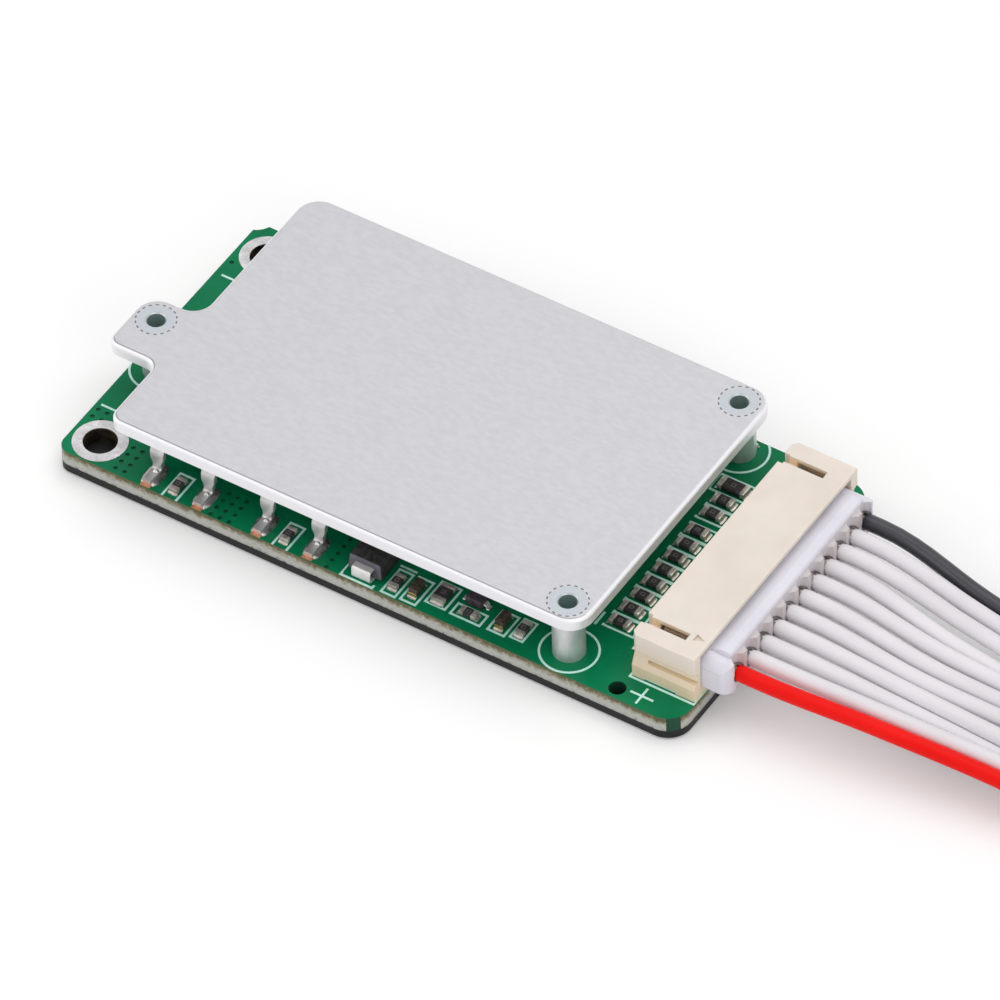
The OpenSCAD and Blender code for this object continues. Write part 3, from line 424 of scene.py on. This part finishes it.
def solder_mound(bm, place, wobble, across_n=24, along_n=40):
    """A domed patch on the board that swells where the leg stands; wobble makes each one differ."""
    rows = []
    for j in range(along_n + 1):
        v = j / along_n
        y = mound_start + mound_l * v
        swell = 0.62 + 0.38 * math.sin(math.pi * v) ** 0.6
        half = mound_half_w * swell + 0.03 * math.sin(5 * y + wobble[0])
        row = []
        for i in range(across_n + 1):
            u = -1 + 2 * i / across_n
            dome = max(0.0, 1 - u * u) ** 0.6 * max(0.0, math.sin(math.pi * v)) ** 0.45
            rise = mound_h + 0.05 * math.sin(2.3 * y + 0.6 * wobble[1] + 1.5 * u)
            ball = ball_h * math.exp(-(((y - leg_y) / 0.3) ** 2)) * math.exp(-(((u - 0.12) / 0.36) ** 2))
            row.append(bm.verts.new(place @ Vector((u * half, y, 0.004 + (rise + ball) * dome))))
        rows.append(row)
    skin_rows(bm, rows)


mounds, pads = bmesh.new(), bmesh.new()
for k, (x, side_of) in transistors.items():
    for s in outer_leads:
        at = lead_tips(x, side_of) @ Matrix.Translation((s, 0, 0))
        solder_mound(mounds, at, wobble=(s + k, k))
        slab(pads, (-0.5, -0.2, -0.02), (0.5, 0.4, 0.06), 0.02, turn=at)
piece("solder_mounds", mounds, solder, "solder", "solder_joints", soft=180)
copper = finish("bare_copper", (0.52, 0.20, 0.10), (0.72, 0.34, 0.20), 0.0005,
                rough=(0.3, 0.45), bump=0.4, metal=0.7)
piece("copper_pads", pads, copper, "solder")

# ---- Chip resistors and capacitors ----
# Fired ceramic blocks with a black glazed film or a brown ceramic body; the
# tinned ends are soldered down with a small hollow fillet at each side.

film = finish("resistor_film", (0.026, 0.022, 0.022), (0.06, 0.053, 0.052), 0.0004,
              rough=(0.3, 0.45), bump=0.3, fine=3)
print_grey = finish("print_grey", (0.16, 0.15, 0.15), (0.26, 0.245, 0.25), 0.0003, bump=0.2)
brown_ceramic = finish("brown_ceramic", (0.018, 0.014, 0.011), (0.10, 0.075, 0.05), 0.00025,
                       rough=(0.35, 0.5), bump=0.4, fine=3)
end_tin = finish("end_tin", (0.40, 0.36, 0.32), (0.78, 0.73, 0.67), 0.0005,
                 rough=(0.22, 0.42), bump=0.5, metal=0.55, fine=3)
gilt = finish("gilt", (0.42, 0.29, 0.12), (0.68, 0.50, 0.24), 0.0006,
              rough=(0.15, 0.3), bump=0.4, metal=0.9, fine=3)

fillet_out = 0.25
# The printed mark is a plain square ring: middle and size of its four strokes
mark_strokes = ((-0.16, 0, 0.07, 0.36), (0.16, 0, 0.07, 0.36), (0, -0.15, 0.25, 0.06), (0, 0.15, 0.25, 0.06))


def chip_body(bodies, marks, at, long, wide, high, cap):
    """The block between the two ends, with its film and its mark."""
    slab(bodies, (-long / 2 + cap, -wide / 2 + 0.01, 0.03), (long / 2 - cap, wide / 2 - 0.01, high - 0.02),
         0.03, turn=at)
    if marks is not None:
        slab(bodies, (-long / 2 + cap + 0.08, -wide / 2 + 0.1, high - 0.04),
             (long / 2 - cap - 0.08, wide / 2 - 0.1, high - 0.008), turn=at)
        for u, v, w, t in mark_strokes:
            slab(marks, (u - w / 2, v - t / 2, high - 0.02), (u + w / 2, v + t / 2, high - 0.002), turn=at)


def chip_end(ends, fillets, turn, long, wide, high, cap):
    """A tinned end, and the hollow fillet from its face down to the board."""
    slab(ends, (long / 2 - cap - 0.03, -wide / 2, 0.02), (long / 2, wide / 2, high), 0.05, turn=turn)
    rows = []
    for k in range(6):
        t = k / 5 * math.pi / 2
        out = long / 2 - 0.02 + fillet_out * (1 - math.cos(t)) ** 1.1 - 0.05 * math.sin(2 * t)
        z = 0.75 * high * (1 - math.sin(t)) + 0.004
        rows.append([fillets.verts.new(turn @ Vector((out - 0.06 * abs(u) ** 3, u * (wide / 2 + 0.02), z)))
                     for u in (-1, -0.6, 0, 0.6, 1)])
    skin_rows(fillets, rows)


def chips(name, places, body_finish, end_finish, body_slot, body_node, end_node,
          marked=True, cap=0.42, reach=1.0):
    """A group of like chips; each place is x, y, length, width, height and angle."""
    bodies, ends, fillets = bmesh.new(), bmesh.new(), bmesh.new()
    marks = bmesh.new() if marked else None
    for x, y, long, wide, high, angle in places:
        at = upright_place(x, y, board_top, angle)
        chip_body(bodies, marks, at, long, wide, high, cap)
        for degrees in (0, 180):
            chip_end(ends, fillets, at @ upright_place(0, 0, 0, degrees), long, wide, reach * high, cap)
    piece(name, bodies, body_finish, body_slot, body_node)
    piece(name + "_ends", ends, end_finish, "solder", end_node)
    piece(name + "_fillets", fillets, end_tin, "solder")
    if marked:
        piece(name + "_marks", marks, print_grey, body_slot)


# Two gate resistors at the front edge, and the same two turned half round the board's middle
gate = [(x * s, -14.05 * s, 1.6, 0.85, 0.5, 90) for s in (1, -1) for x in (-19.2, -8.25)]
chips("gate_chips", gate, film, end_tin, "resistor", "gate_resistors", "gate_resistor_ends")

# Balance resistors: a row of eight, a pair, and one larger chip
balance_x, balance_y0, balance_step = 20.5, -8.177, 1.72
balance_y = [balance_y0 + balance_step * k for k in (0, 1, 2, 3, 4, 5, 6, 7, 8.36, 9.36)]
balance = [(balance_x, y, 1.9, 0.95, 0.5, 0) for y in balance_y]
balance += [(balance_x - 0.1, balance_y[-1] + balance_step, 2.65, 1.2, 0.55, 0)]
chips("balance_chips", balance, film, end_tin, "resistor", "balance_resistors", "balance_resistor_ends")

# Filter resistors along the front, and six more under the plate
filters = [(2.325, -13.85, 1.6, 0.85, 0.45, 90), (6.34, -13.05, 2.0, 1.25, 0.5, 90),
           (9.29, -13.78, 1.6, 0.8, 0.45, 0), (14.09, -12.95, 1.6, 0.85, 0.45, 90)]
filters += [(x, y, 1.6, 0.8, 0.45, 90) for x in (9.4, 10.99, 12.6) for y in (-9.3, -6.9)]
chips("filter_chips", filters, film, end_tin, "resistor", "filter_resistors", "filter_resistor_ends")

capacitors = [(4.2, -13.75, 1.6, 0.8, 0.95, 90), (12.25, -13.15, 1.6, 0.8, 0.95, 90)]
chips("capacitor_chips", capacitors, brown_ceramic, gilt, "capacitor",
      "filter_capacitors", "filter_capacitor_ends", marked=False, cap=0.1, reach=0.5)

# ---- Clamp diode ----
# A block moulded in lilac-grey epoxy with sides that lean in a little; its
# two flat leads are folded up the ends and under the body.

lilac = finish("lilac_moulding_painted_light", (0.095, 0.085, 0.108), (0.14, 0.127, 0.155), 0.001,
               rough=(0.4, 0.55), bump=0.35, fine=5)
dark = finish("speckled_moulding_painted_shade", (0.012, 0.011, 0.012), (0.05, 0.046, 0.046), 0.0003,
              rough=(0.4, 0.55), bump=0.4, fine=4)
# Middle of the body's top, and the share of the foot's size that the top has
clamp_top, clamp_taper = (-0.5, -12.65), (0.9, 0.94)
clamp = bmesh.new()
for v in slab(clamp, (-2.15, -14.5, 2.42), (1.2, -11.1, 4.05)):
    if v.co.z > 3.5:
        v.co.x = clamp_top[0] + (v.co.x - clamp_top[0]) * clamp_taper[0]
        v.co.y = clamp_top[1] + (v.co.y - clamp_top[1]) * clamp_taper[1]
bmesh.ops.bevel(clamp, geom=clamp.edges[:], offset=0.16, segments=3, profile=0.5, affect="EDGES")
# Painted light and shade: the front is painted lilac, where the light falls, and the rest dark and speckled,
# in the plate's shadow
for f in clamp.faces:
    f.normal_update()
    f.material_index = 0 if f.normal.y < -0.4 else 1
piece("clamp_body", clamp, [lilac, dark], "epoxy", "clamp_diode")

clamp_middle = (-0.42, -12.85)
clamp_lead_w, clamp_lead_t = 1.85, 0.16
# Side view of a lead: from under the body, round the corner and up the end
clamp_path = [(-1.15, 0.08), (-1.9, 0.08)] + arc((-2.06, 0.28), 0.2, -90, -180, 5)
clamp_path += [(-2.26, 0.55), (-2.26, 0.85)] + arc((-2.08, 1.0), 0.18, 180, 90, 5) + [(-1.6, 1.18)]
folded = bmesh.new()
for degrees in (0, 180):
    place = upright_place(*clamp_middle, board_top, degrees)
    strip(folded, clamp_path, [clamp_lead_w] * len(clamp_path), clamp_lead_t, place)
bright_tin = finish("bright_tin", (0.70, 0.68, 0.66), (0.82, 0.80, 0.78), 0.0012,
                    rough=(0.25, 0.38), bump=0.3, metal=0.6)
piece("clamp_leads", folded, bright_tin, "solder", "clamp_diode_leads")

# ---- Small diode ----
# A plum-coloured moulding behind the front row, with a thin stepped lead at
# each end.

plum = finish("plum_moulding", (0.035, 0.024, 0.034), (0.085, 0.062, 0.08), 0.0004,
              rough=(0.35, 0.5), bump=0.3, fine=4)
small = bmesh.new()
slab(small, (8.4, -12.9, 2.4), (9.95, -11.7, 3.2), 0.09, steps=3)
piece("signal_body", small, plum, "epoxy", "signal_diode")

small_middle = (9.2, -12.3)
foot_w, foot_t = 0.6, 0.12
# Side view of a lead: out of the body, down, and out again along the board
foot_path = [(0.6, 0.42), (0.85, 0.42)] + arc((0.86, 0.27), 0.15, 90, 0, 4)
foot_path += arc((1.13, 0.2), 0.13, 180, 270, 4) + [(1.28, 0.07)]
feet = bmesh.new()
for degrees in (-90, 90):
    place = upright_place(*small_middle, board_top, degrees)
    strip(feet, foot_path, [foot_w] * len(foot_path), foot_t, place)
piece("signal_terminals", feet, bright_tin, "solder", "signal_diode_leads")

# ---- Protection chips and shunts ----
# Under the plate: two black moulded chips with tinned leads, and two blocks
# of resistance alloy that measure the pack's current.

for node in ("protection_ic_1", "protection_ic_2"):
    dress(node, epoxy)
dress("protection_ic_leads", lead_tin)
alloy = finish("shunt_alloy", (0.16, 0.15, 0.14), (0.24, 0.225, 0.21), 0.002,
               rough=(0.35, 0.5), bump=0.3, metal=0.8)
dress("shunt_resistors", alloy)

# ---- Header ----
# The board's half of the balance connector, moulded in warm white nylon, its
# square brass pins bent down behind it and soldered to the board.

connector_y = 0.2


def between(m, value, start, stop):
    """Rises from 0 to 1 between two places in millimetres."""
    return ramp(m, value, start * mm, stop * mm)


def off_middle(m, y):
    """Distance to either side of the connector's middle."""
    return maths(m, "ABSOLUTE", maths(m, "SUBTRACT", y, connector_y * mm))


nylon = finish("header_nylon", (0.775, 0.69, 0.615), (0.83, 0.745, 0.67), 0.004,
               rough=(0.38, 0.5), bump=0.25, fine=30, edge=0.00009)
feed(skin(nylon, "Subsurface Weight"), 0.35)
feed(skin(nylon, "Subsurface Radius"), (0.002, 0.0012, 0.0007))
feed(skin(nylon, "Subsurface Scale"), 0.3)
# Painted light: the end slots and the pockets are painted a bright tan, for the light that only comes through
# the nylon into them
x, y, z = point(nylon)
aside = off_middle(nylon, y)
slots = all_of(nylon, between(nylon, aside, 10.2, 10.3), between(nylon, aside, 11.2, 11.1),
               between(nylon, z, 7.28, 7.1), between(nylon, x, 28.7, 28.6))
level = maths(nylon, "GREATER_THAN", facing(nylon)["Z"], 0.7)
pockets = all_of(nylon, level, between(nylon, z, 7.25, 6.6), between(nylon, x, 25.2, 25.4))
paint_over(nylon, maths(nylon, "MAXIMUM", pockets, slots), (0.93, 0.74, 0.52))
# Painted shade: towards the board the nylon is painted warmer
paint_over(nylon, between(nylon, z, 6.6, 3.2), (0.86, 0.70, 0.49))
dress("header_housing", nylon)

# ---- Plug ----
# The loose half, moulded in cool white nylon: a thumb ridge along the top and
# eleven round notches at the back that show the crimped contacts.

cool = finish("plug_nylon", (0.73, 0.715, 0.79), (0.79, 0.775, 0.85), 0.004,
              rough=(0.3, 0.42), bump=0.2, fine=30, edge=0.00012)
feed(skin(cool, "Subsurface Weight"), 0.2)
feed(skin(cool, "Subsurface Radius"), (0.001, 0.0008, 0.0008))
x, y, z = point(cool)
# The thin fins between the wires are painted grey-brown: partly the metal behind them showing through, partly
# painted shade
fins = all_of(cool, between(cool, x, 32.3, 32.6), between(cool, off_middle(cool, y), 10.5, 10.3))
paint_over(cool, fins, (0.63, 0.58, 0.585))
# The front that goes into the header is in its shade
paint_over(cool, between(cool, x, 28.9, 28.7), (0.50, 0.38, 0.26))
dress("plug_housing", cool)

# ---- Crimp contacts ----
# Eleven contacts stamped from tinned bronze; the insulation wings of each are
# folded over the wire's neck in two leaves.

wire_z = 4.85
ways, pitch = 11, 2.0
wing_t = 0.09
# Inner radius of the wings at places along the wire
wing_outline = ((32.5, 0.66), (32.65, 0.68), (32.8, 0.68), (32.9, 0.66))

bronze = finish("crimp_bronze", (0.14, 0.115, 0.105), (0.34, 0.30, 0.28), 0.0005,
                rough=(0.3, 0.5), bump=0.5, metal=0.8)
dress("crimp_contacts", bronze)


def way_y(number):
    """Middle of a wire at the plug; number 1 is at the front."""
    return connector_y + (number - (ways + 1) // 2) * pitch


def leaf(bm, y0, side_of):
    """One wing: from over the wire, with its tip a little raised, down to below it."""
    inner, outer = [], []
    for x, neck_r in wing_outline:
        for rows, r in ((inner, neck_r), (outer, neck_r + wing_t)):
            row = []
            for a in range(8 if side_of > 0 else 14, 181, 12):
                out, up = r * math.sin(math.radians(a)), r * math.cos(math.radians(a))
                row.append(bm.verts.new((x, y0 + side_of * out, wire_z + up + 0.06 * math.exp(-a / 25))))
            rows.append(row)
    for rows in (inner, outer, (inner[0], outer[0]), (inner[-1], outer[-1])):
        skin_rows(bm, rows)
    for i in (0, -1):
        for a, b, c, d in zip(inner, inner[1:], outer[1:], outer):
            bm.faces.new((a[i], b[i], c[i], d[i]))


wings = bmesh.new()
for number in range(1, ways + 1):
    for side_of in (1, -1):
        leaf(wings, way_y(number), side_of)
crimp_wings = piece("crimp_wings", wings, bronze, "tin", soft=50)

# ---- Balance wires ----
# Eleven silicone-insulated wires, 1.45 mm over the jacket: red at the front,
# black at the back, white between. They leave the plug level, close up, come
# down to the bench and run out loose to stripped ends.

wire_d = 1.45
rest = wire_d / 2
start_x, exit_x = 32.7, 33.0
bare_l = 3
strand_r, strand_ring = 0.15, 0.29
stops = {  # y and z at x = 46 mm and at 60 mm, y at 76 mm and at 110 mm, and the end
    1: ((-9.0, 4.6), (-7.8, 3.2), -8.6, -7, (158, -9.8)),
    2: ((-7.4, 4.6), (-6.3, 3.2), -6.95, -5.4, (160, -7.6)),
    3: ((-5.8, 4.3), (-5.14, 2.3), -5.3, -3.7, (157, -5.9)),
    4: ((-4.25, 4.6), (-3.98, 3.2), -3.65, -2.1, (159, -3.5)),
    5: ((-2.7, 4.6), (-1.92, 3.2), -2.0, -0.5, (160, -1.3)),
    6: ((-1.0, 4.6), (-0.43, 3.2), -0.35, 1.2, (158, 1)),
    7: ((0.84, 4.6), (1.05, 3.2), 1.3, 2.8, (159, 2.9)),
    8: ((2.4, 4.3), (2.21, 2.3), 2.95, 4.4, (157, 5.1)),
    9: ((4.6, 4.6), (3.37, 3.2), 4.6, 6.1, (160, 7.2)),
    10: ((6.35, 4.6), (4.9, 3.2), 6.25, 7.7, (159, 9.4)),
    11: ((7.95, 4.5), (6.5, 3.2), 7.9, 9.4, (157, 11.4)),
}


def jacket_finish(colour, dark, light, rough=(0.35, 0.5), shine=0.5):
    """Soft silicone with faint marks drawn along the wire."""
    return finish(colour + "_jacket", dark, light, 0.003, rough=rough, bump=0.3,
                  stretch=(0.3, 1, 1), fine=10, shine=shine)


jackets = {
    "white": jacket_finish("white", (0.77, 0.74, 0.77), (0.83, 0.795, 0.825), rough=(0.45, 0.6), shine=0.3),
    "red": jacket_finish("red", (0.86, 0.006, 0.004), (0.95, 0.012, 0.008), shine=0.12),
    "black": jacket_finish("black", (0.018, 0.018, 0.024), (0.034, 0.034, 0.044), rough=(0.18, 0.32)),
}
bared = finish("tinned_strands", (0.55, 0.50, 0.45), (0.72, 0.69, 0.66), 0.0005,
               rough=(0.2, 0.35), bump=0.4, metal=0.95)


def smooth_route(points, steps):
    """Points on one smooth curve through the stops; the slope at each is the mean of its two sides."""
    p = [Vector(q) for q in points]
    legs = [b - a for a, b in zip(p, p[1:])]
    slope = [legs[0] / legs[0].x]
    slope += [(a / a.x * b.x + b / b.x * a.x) / (a.x + b.x) for a, b in zip(legs, legs[1:])]
    slope += [legs[-1] / legs[-1].x]
    # Level out of the plug, and where it lies on the bench
    slope[1] = Vector((1, 0, 0))
    for way, q in zip(slope, p):
        if q.z < rest + 0.01:
            way.z = 0
    out = []
    for k, leg in enumerate(legs):
        for j in range(steps[k]):
            t = j / steps[k]
            h0, h1 = 2 * t**3 - 3 * t * t + 1, t**3 - 2 * t * t + t
            h2, h3 = 3 * t * t - 2 * t**3, t**3 - t * t
            out.append(h0 * p[k] + h1 * leg.x * slope[k] + h2 * p[k + 1] + h3 * leg.x * slope[k + 1])
    return out + [p[-1]]


def sheath(name, route, material):
    """The jacket as a curve, drawn in a little where the crimp holds it."""
    line = bpy.data.curves.new(name, "CURVE")
    line.dimensions = "3D"
    run = line.splines.new("POLY")
    run.points.add(len(route) - 1)
    for q, p in zip(run.points, route):
        q.co = (*(p * mm), 1)
        q.radius = 0.84 if p.x < 32.95 else 0.93 if p.x < 33.2 else 1.0
    run.use_smooth = True
    line.bevel_depth = wire_d / 2 * mm
    line.bevel_resolution = 6
    line.use_fill_caps = True
    line.materials.append(material)
    wire = bpy.data.objects.new(name, line)
    bpy.context.scene.collection.objects.link(wire)
    return wire


def off_line(along, degrees):
    """A step of 1 mm out from a level line, at an angle round it."""
    a = math.radians(degrees)
    return Vector((-along.y * math.cos(a), along.x * math.cos(a), math.sin(a)))


def stripped_end(end, along):
    """Seven tinned strands with a slight twist, from inside the jacket to the tip."""
    strands = bmesh.new()
    for q in range(7):
        rings = []
        for t in (-0.6, 0.6, 1.8, bare_l):
            core = end + along * t
            if q > 0:
                core += off_line(along, 60 * q + 22 * t) * strand_ring
            rings.append([strands.verts.new(core + off_line(along, 45 * c) * strand_r) for c in range(8)])
        skin_rows(strands, rings, closed=True)
        strands.faces.new(rings[-1])
        strands.faces.new(rings[0][::-1])
    return strands


for k, (near, middle, y76, y110, far) in stops.items():
    y = way_y(k)
    colour = "red" if k == 1 else "black" if k == ways else "white"
    lean = (far[1] - y110) / (far[0] - 110)
    jacket_end = (far[0] - bare_l, far[1] - bare_l * lean, rest)
    points = [(start_x, y, wire_z), (34.5, y, wire_z), (46, *near), (60, *middle),
              (76, y76, rest), (110, y110, rest), jacket_end]
    route = smooth_route(points, [6, 7, 7, 7, 6, 6])
    wire = sheath(f"balance_wire_{k:02d}", route, jackets[colour])
    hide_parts(f"wire_{k:02d}")
    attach(wire, "root")
    strands = stripped_end(route[-1], Vector((1, lean, 0)).normalized())
    bare_end = piece(f"bare_end_{k:02d}", strands, bared, "tin", soft=60)

# ---- Bench ----
# A plain white bench, a fifth of a millimetre below the board so that the two
# don't meet; it looks a little lighter than it is, and keeps its shadow.

half, low = 3, -0.0002
floor_mesh = bpy.data.meshes.new("bench")
floor_mesh.from_pydata([(-half, -half, low), (half, -half, low), (half, half, low), (-half, half, low)],
                       [], [(0, 1, 2, 3)])
bench = bpy.data.objects.new("bench", floor_mesh)
bpy.context.scene.collection.objects.link(bench)


def in_view(m):
    """1 where the camera looks at it, also in a mirror or through something clear."""
    ray = add(m, "LightPath").outputs
    seen = maths(m, "MAXIMUM", ray["Is Camera Ray"], ray["Is Glossy Ray"])
    return maths(m, "MAXIMUM", seen, ray["Is Transmission Ray"])


white = bpy.data.materials.new("bench_white")
white.use_nodes = True
feed(skin(white, "Base Color"), (0.9, 0.9, 0.9, 1))
feed(skin(white, "Roughness"), 0.9)
feed(skin(white, "Specular IOR Level"), 0.1)
feed(skin(white, "Emission Color"), (1, 1, 1, 1))
feed(skin(white, "Emission Strength"), maths(white, "MULTIPLY", in_view(white), 0.13))
floor_mesh.materials.append(white)

# ---- Light ----
# Three large soft lamps, one overhead and one at either side of the front,
# in a white studio.


def lamp(name, size, watts, place):
    """A soft rectangular lamp, aimed at the board."""
    data = bpy.data.lights.new(name, "AREA")
    data.shape = "RECTANGLE"
    data.size, data.size_y = size
    data.energy = watts
    light = bpy.data.objects.new(name, data)
    light.location = place
    light.rotation_euler = (-Vector(place)).to_track_quat("-Z", "Y").to_euler()
    bpy.context.scene.collection.objects.link(light)


lamp("overhead", (1.2, 1.2), 5.6, (0.1, 0.25, 1.1))
lamp("left_box", (0.6, 1.0), 2.6, (-0.9, -0.5, 0.6))
lamp("right_box", (0.5, 0.8), 2.0, (0.9, -0.6, 0.5))
world = bpy.data.worlds.new("studio")
bpy.context.scene.world = world
world.use_nodes = True
back = world.node_tree.nodes["Background"]
feed(back.inputs["Color"], (1, 1, 1, 1))
glow = add(world, "MapRange", Value=in_view(world), To_Min=0.55, To_Max=1.0)
feed(back.inputs["Strength"], glow.outputs["Result"])
bpy.context.scene.view_settings.view_transform = "Standard"
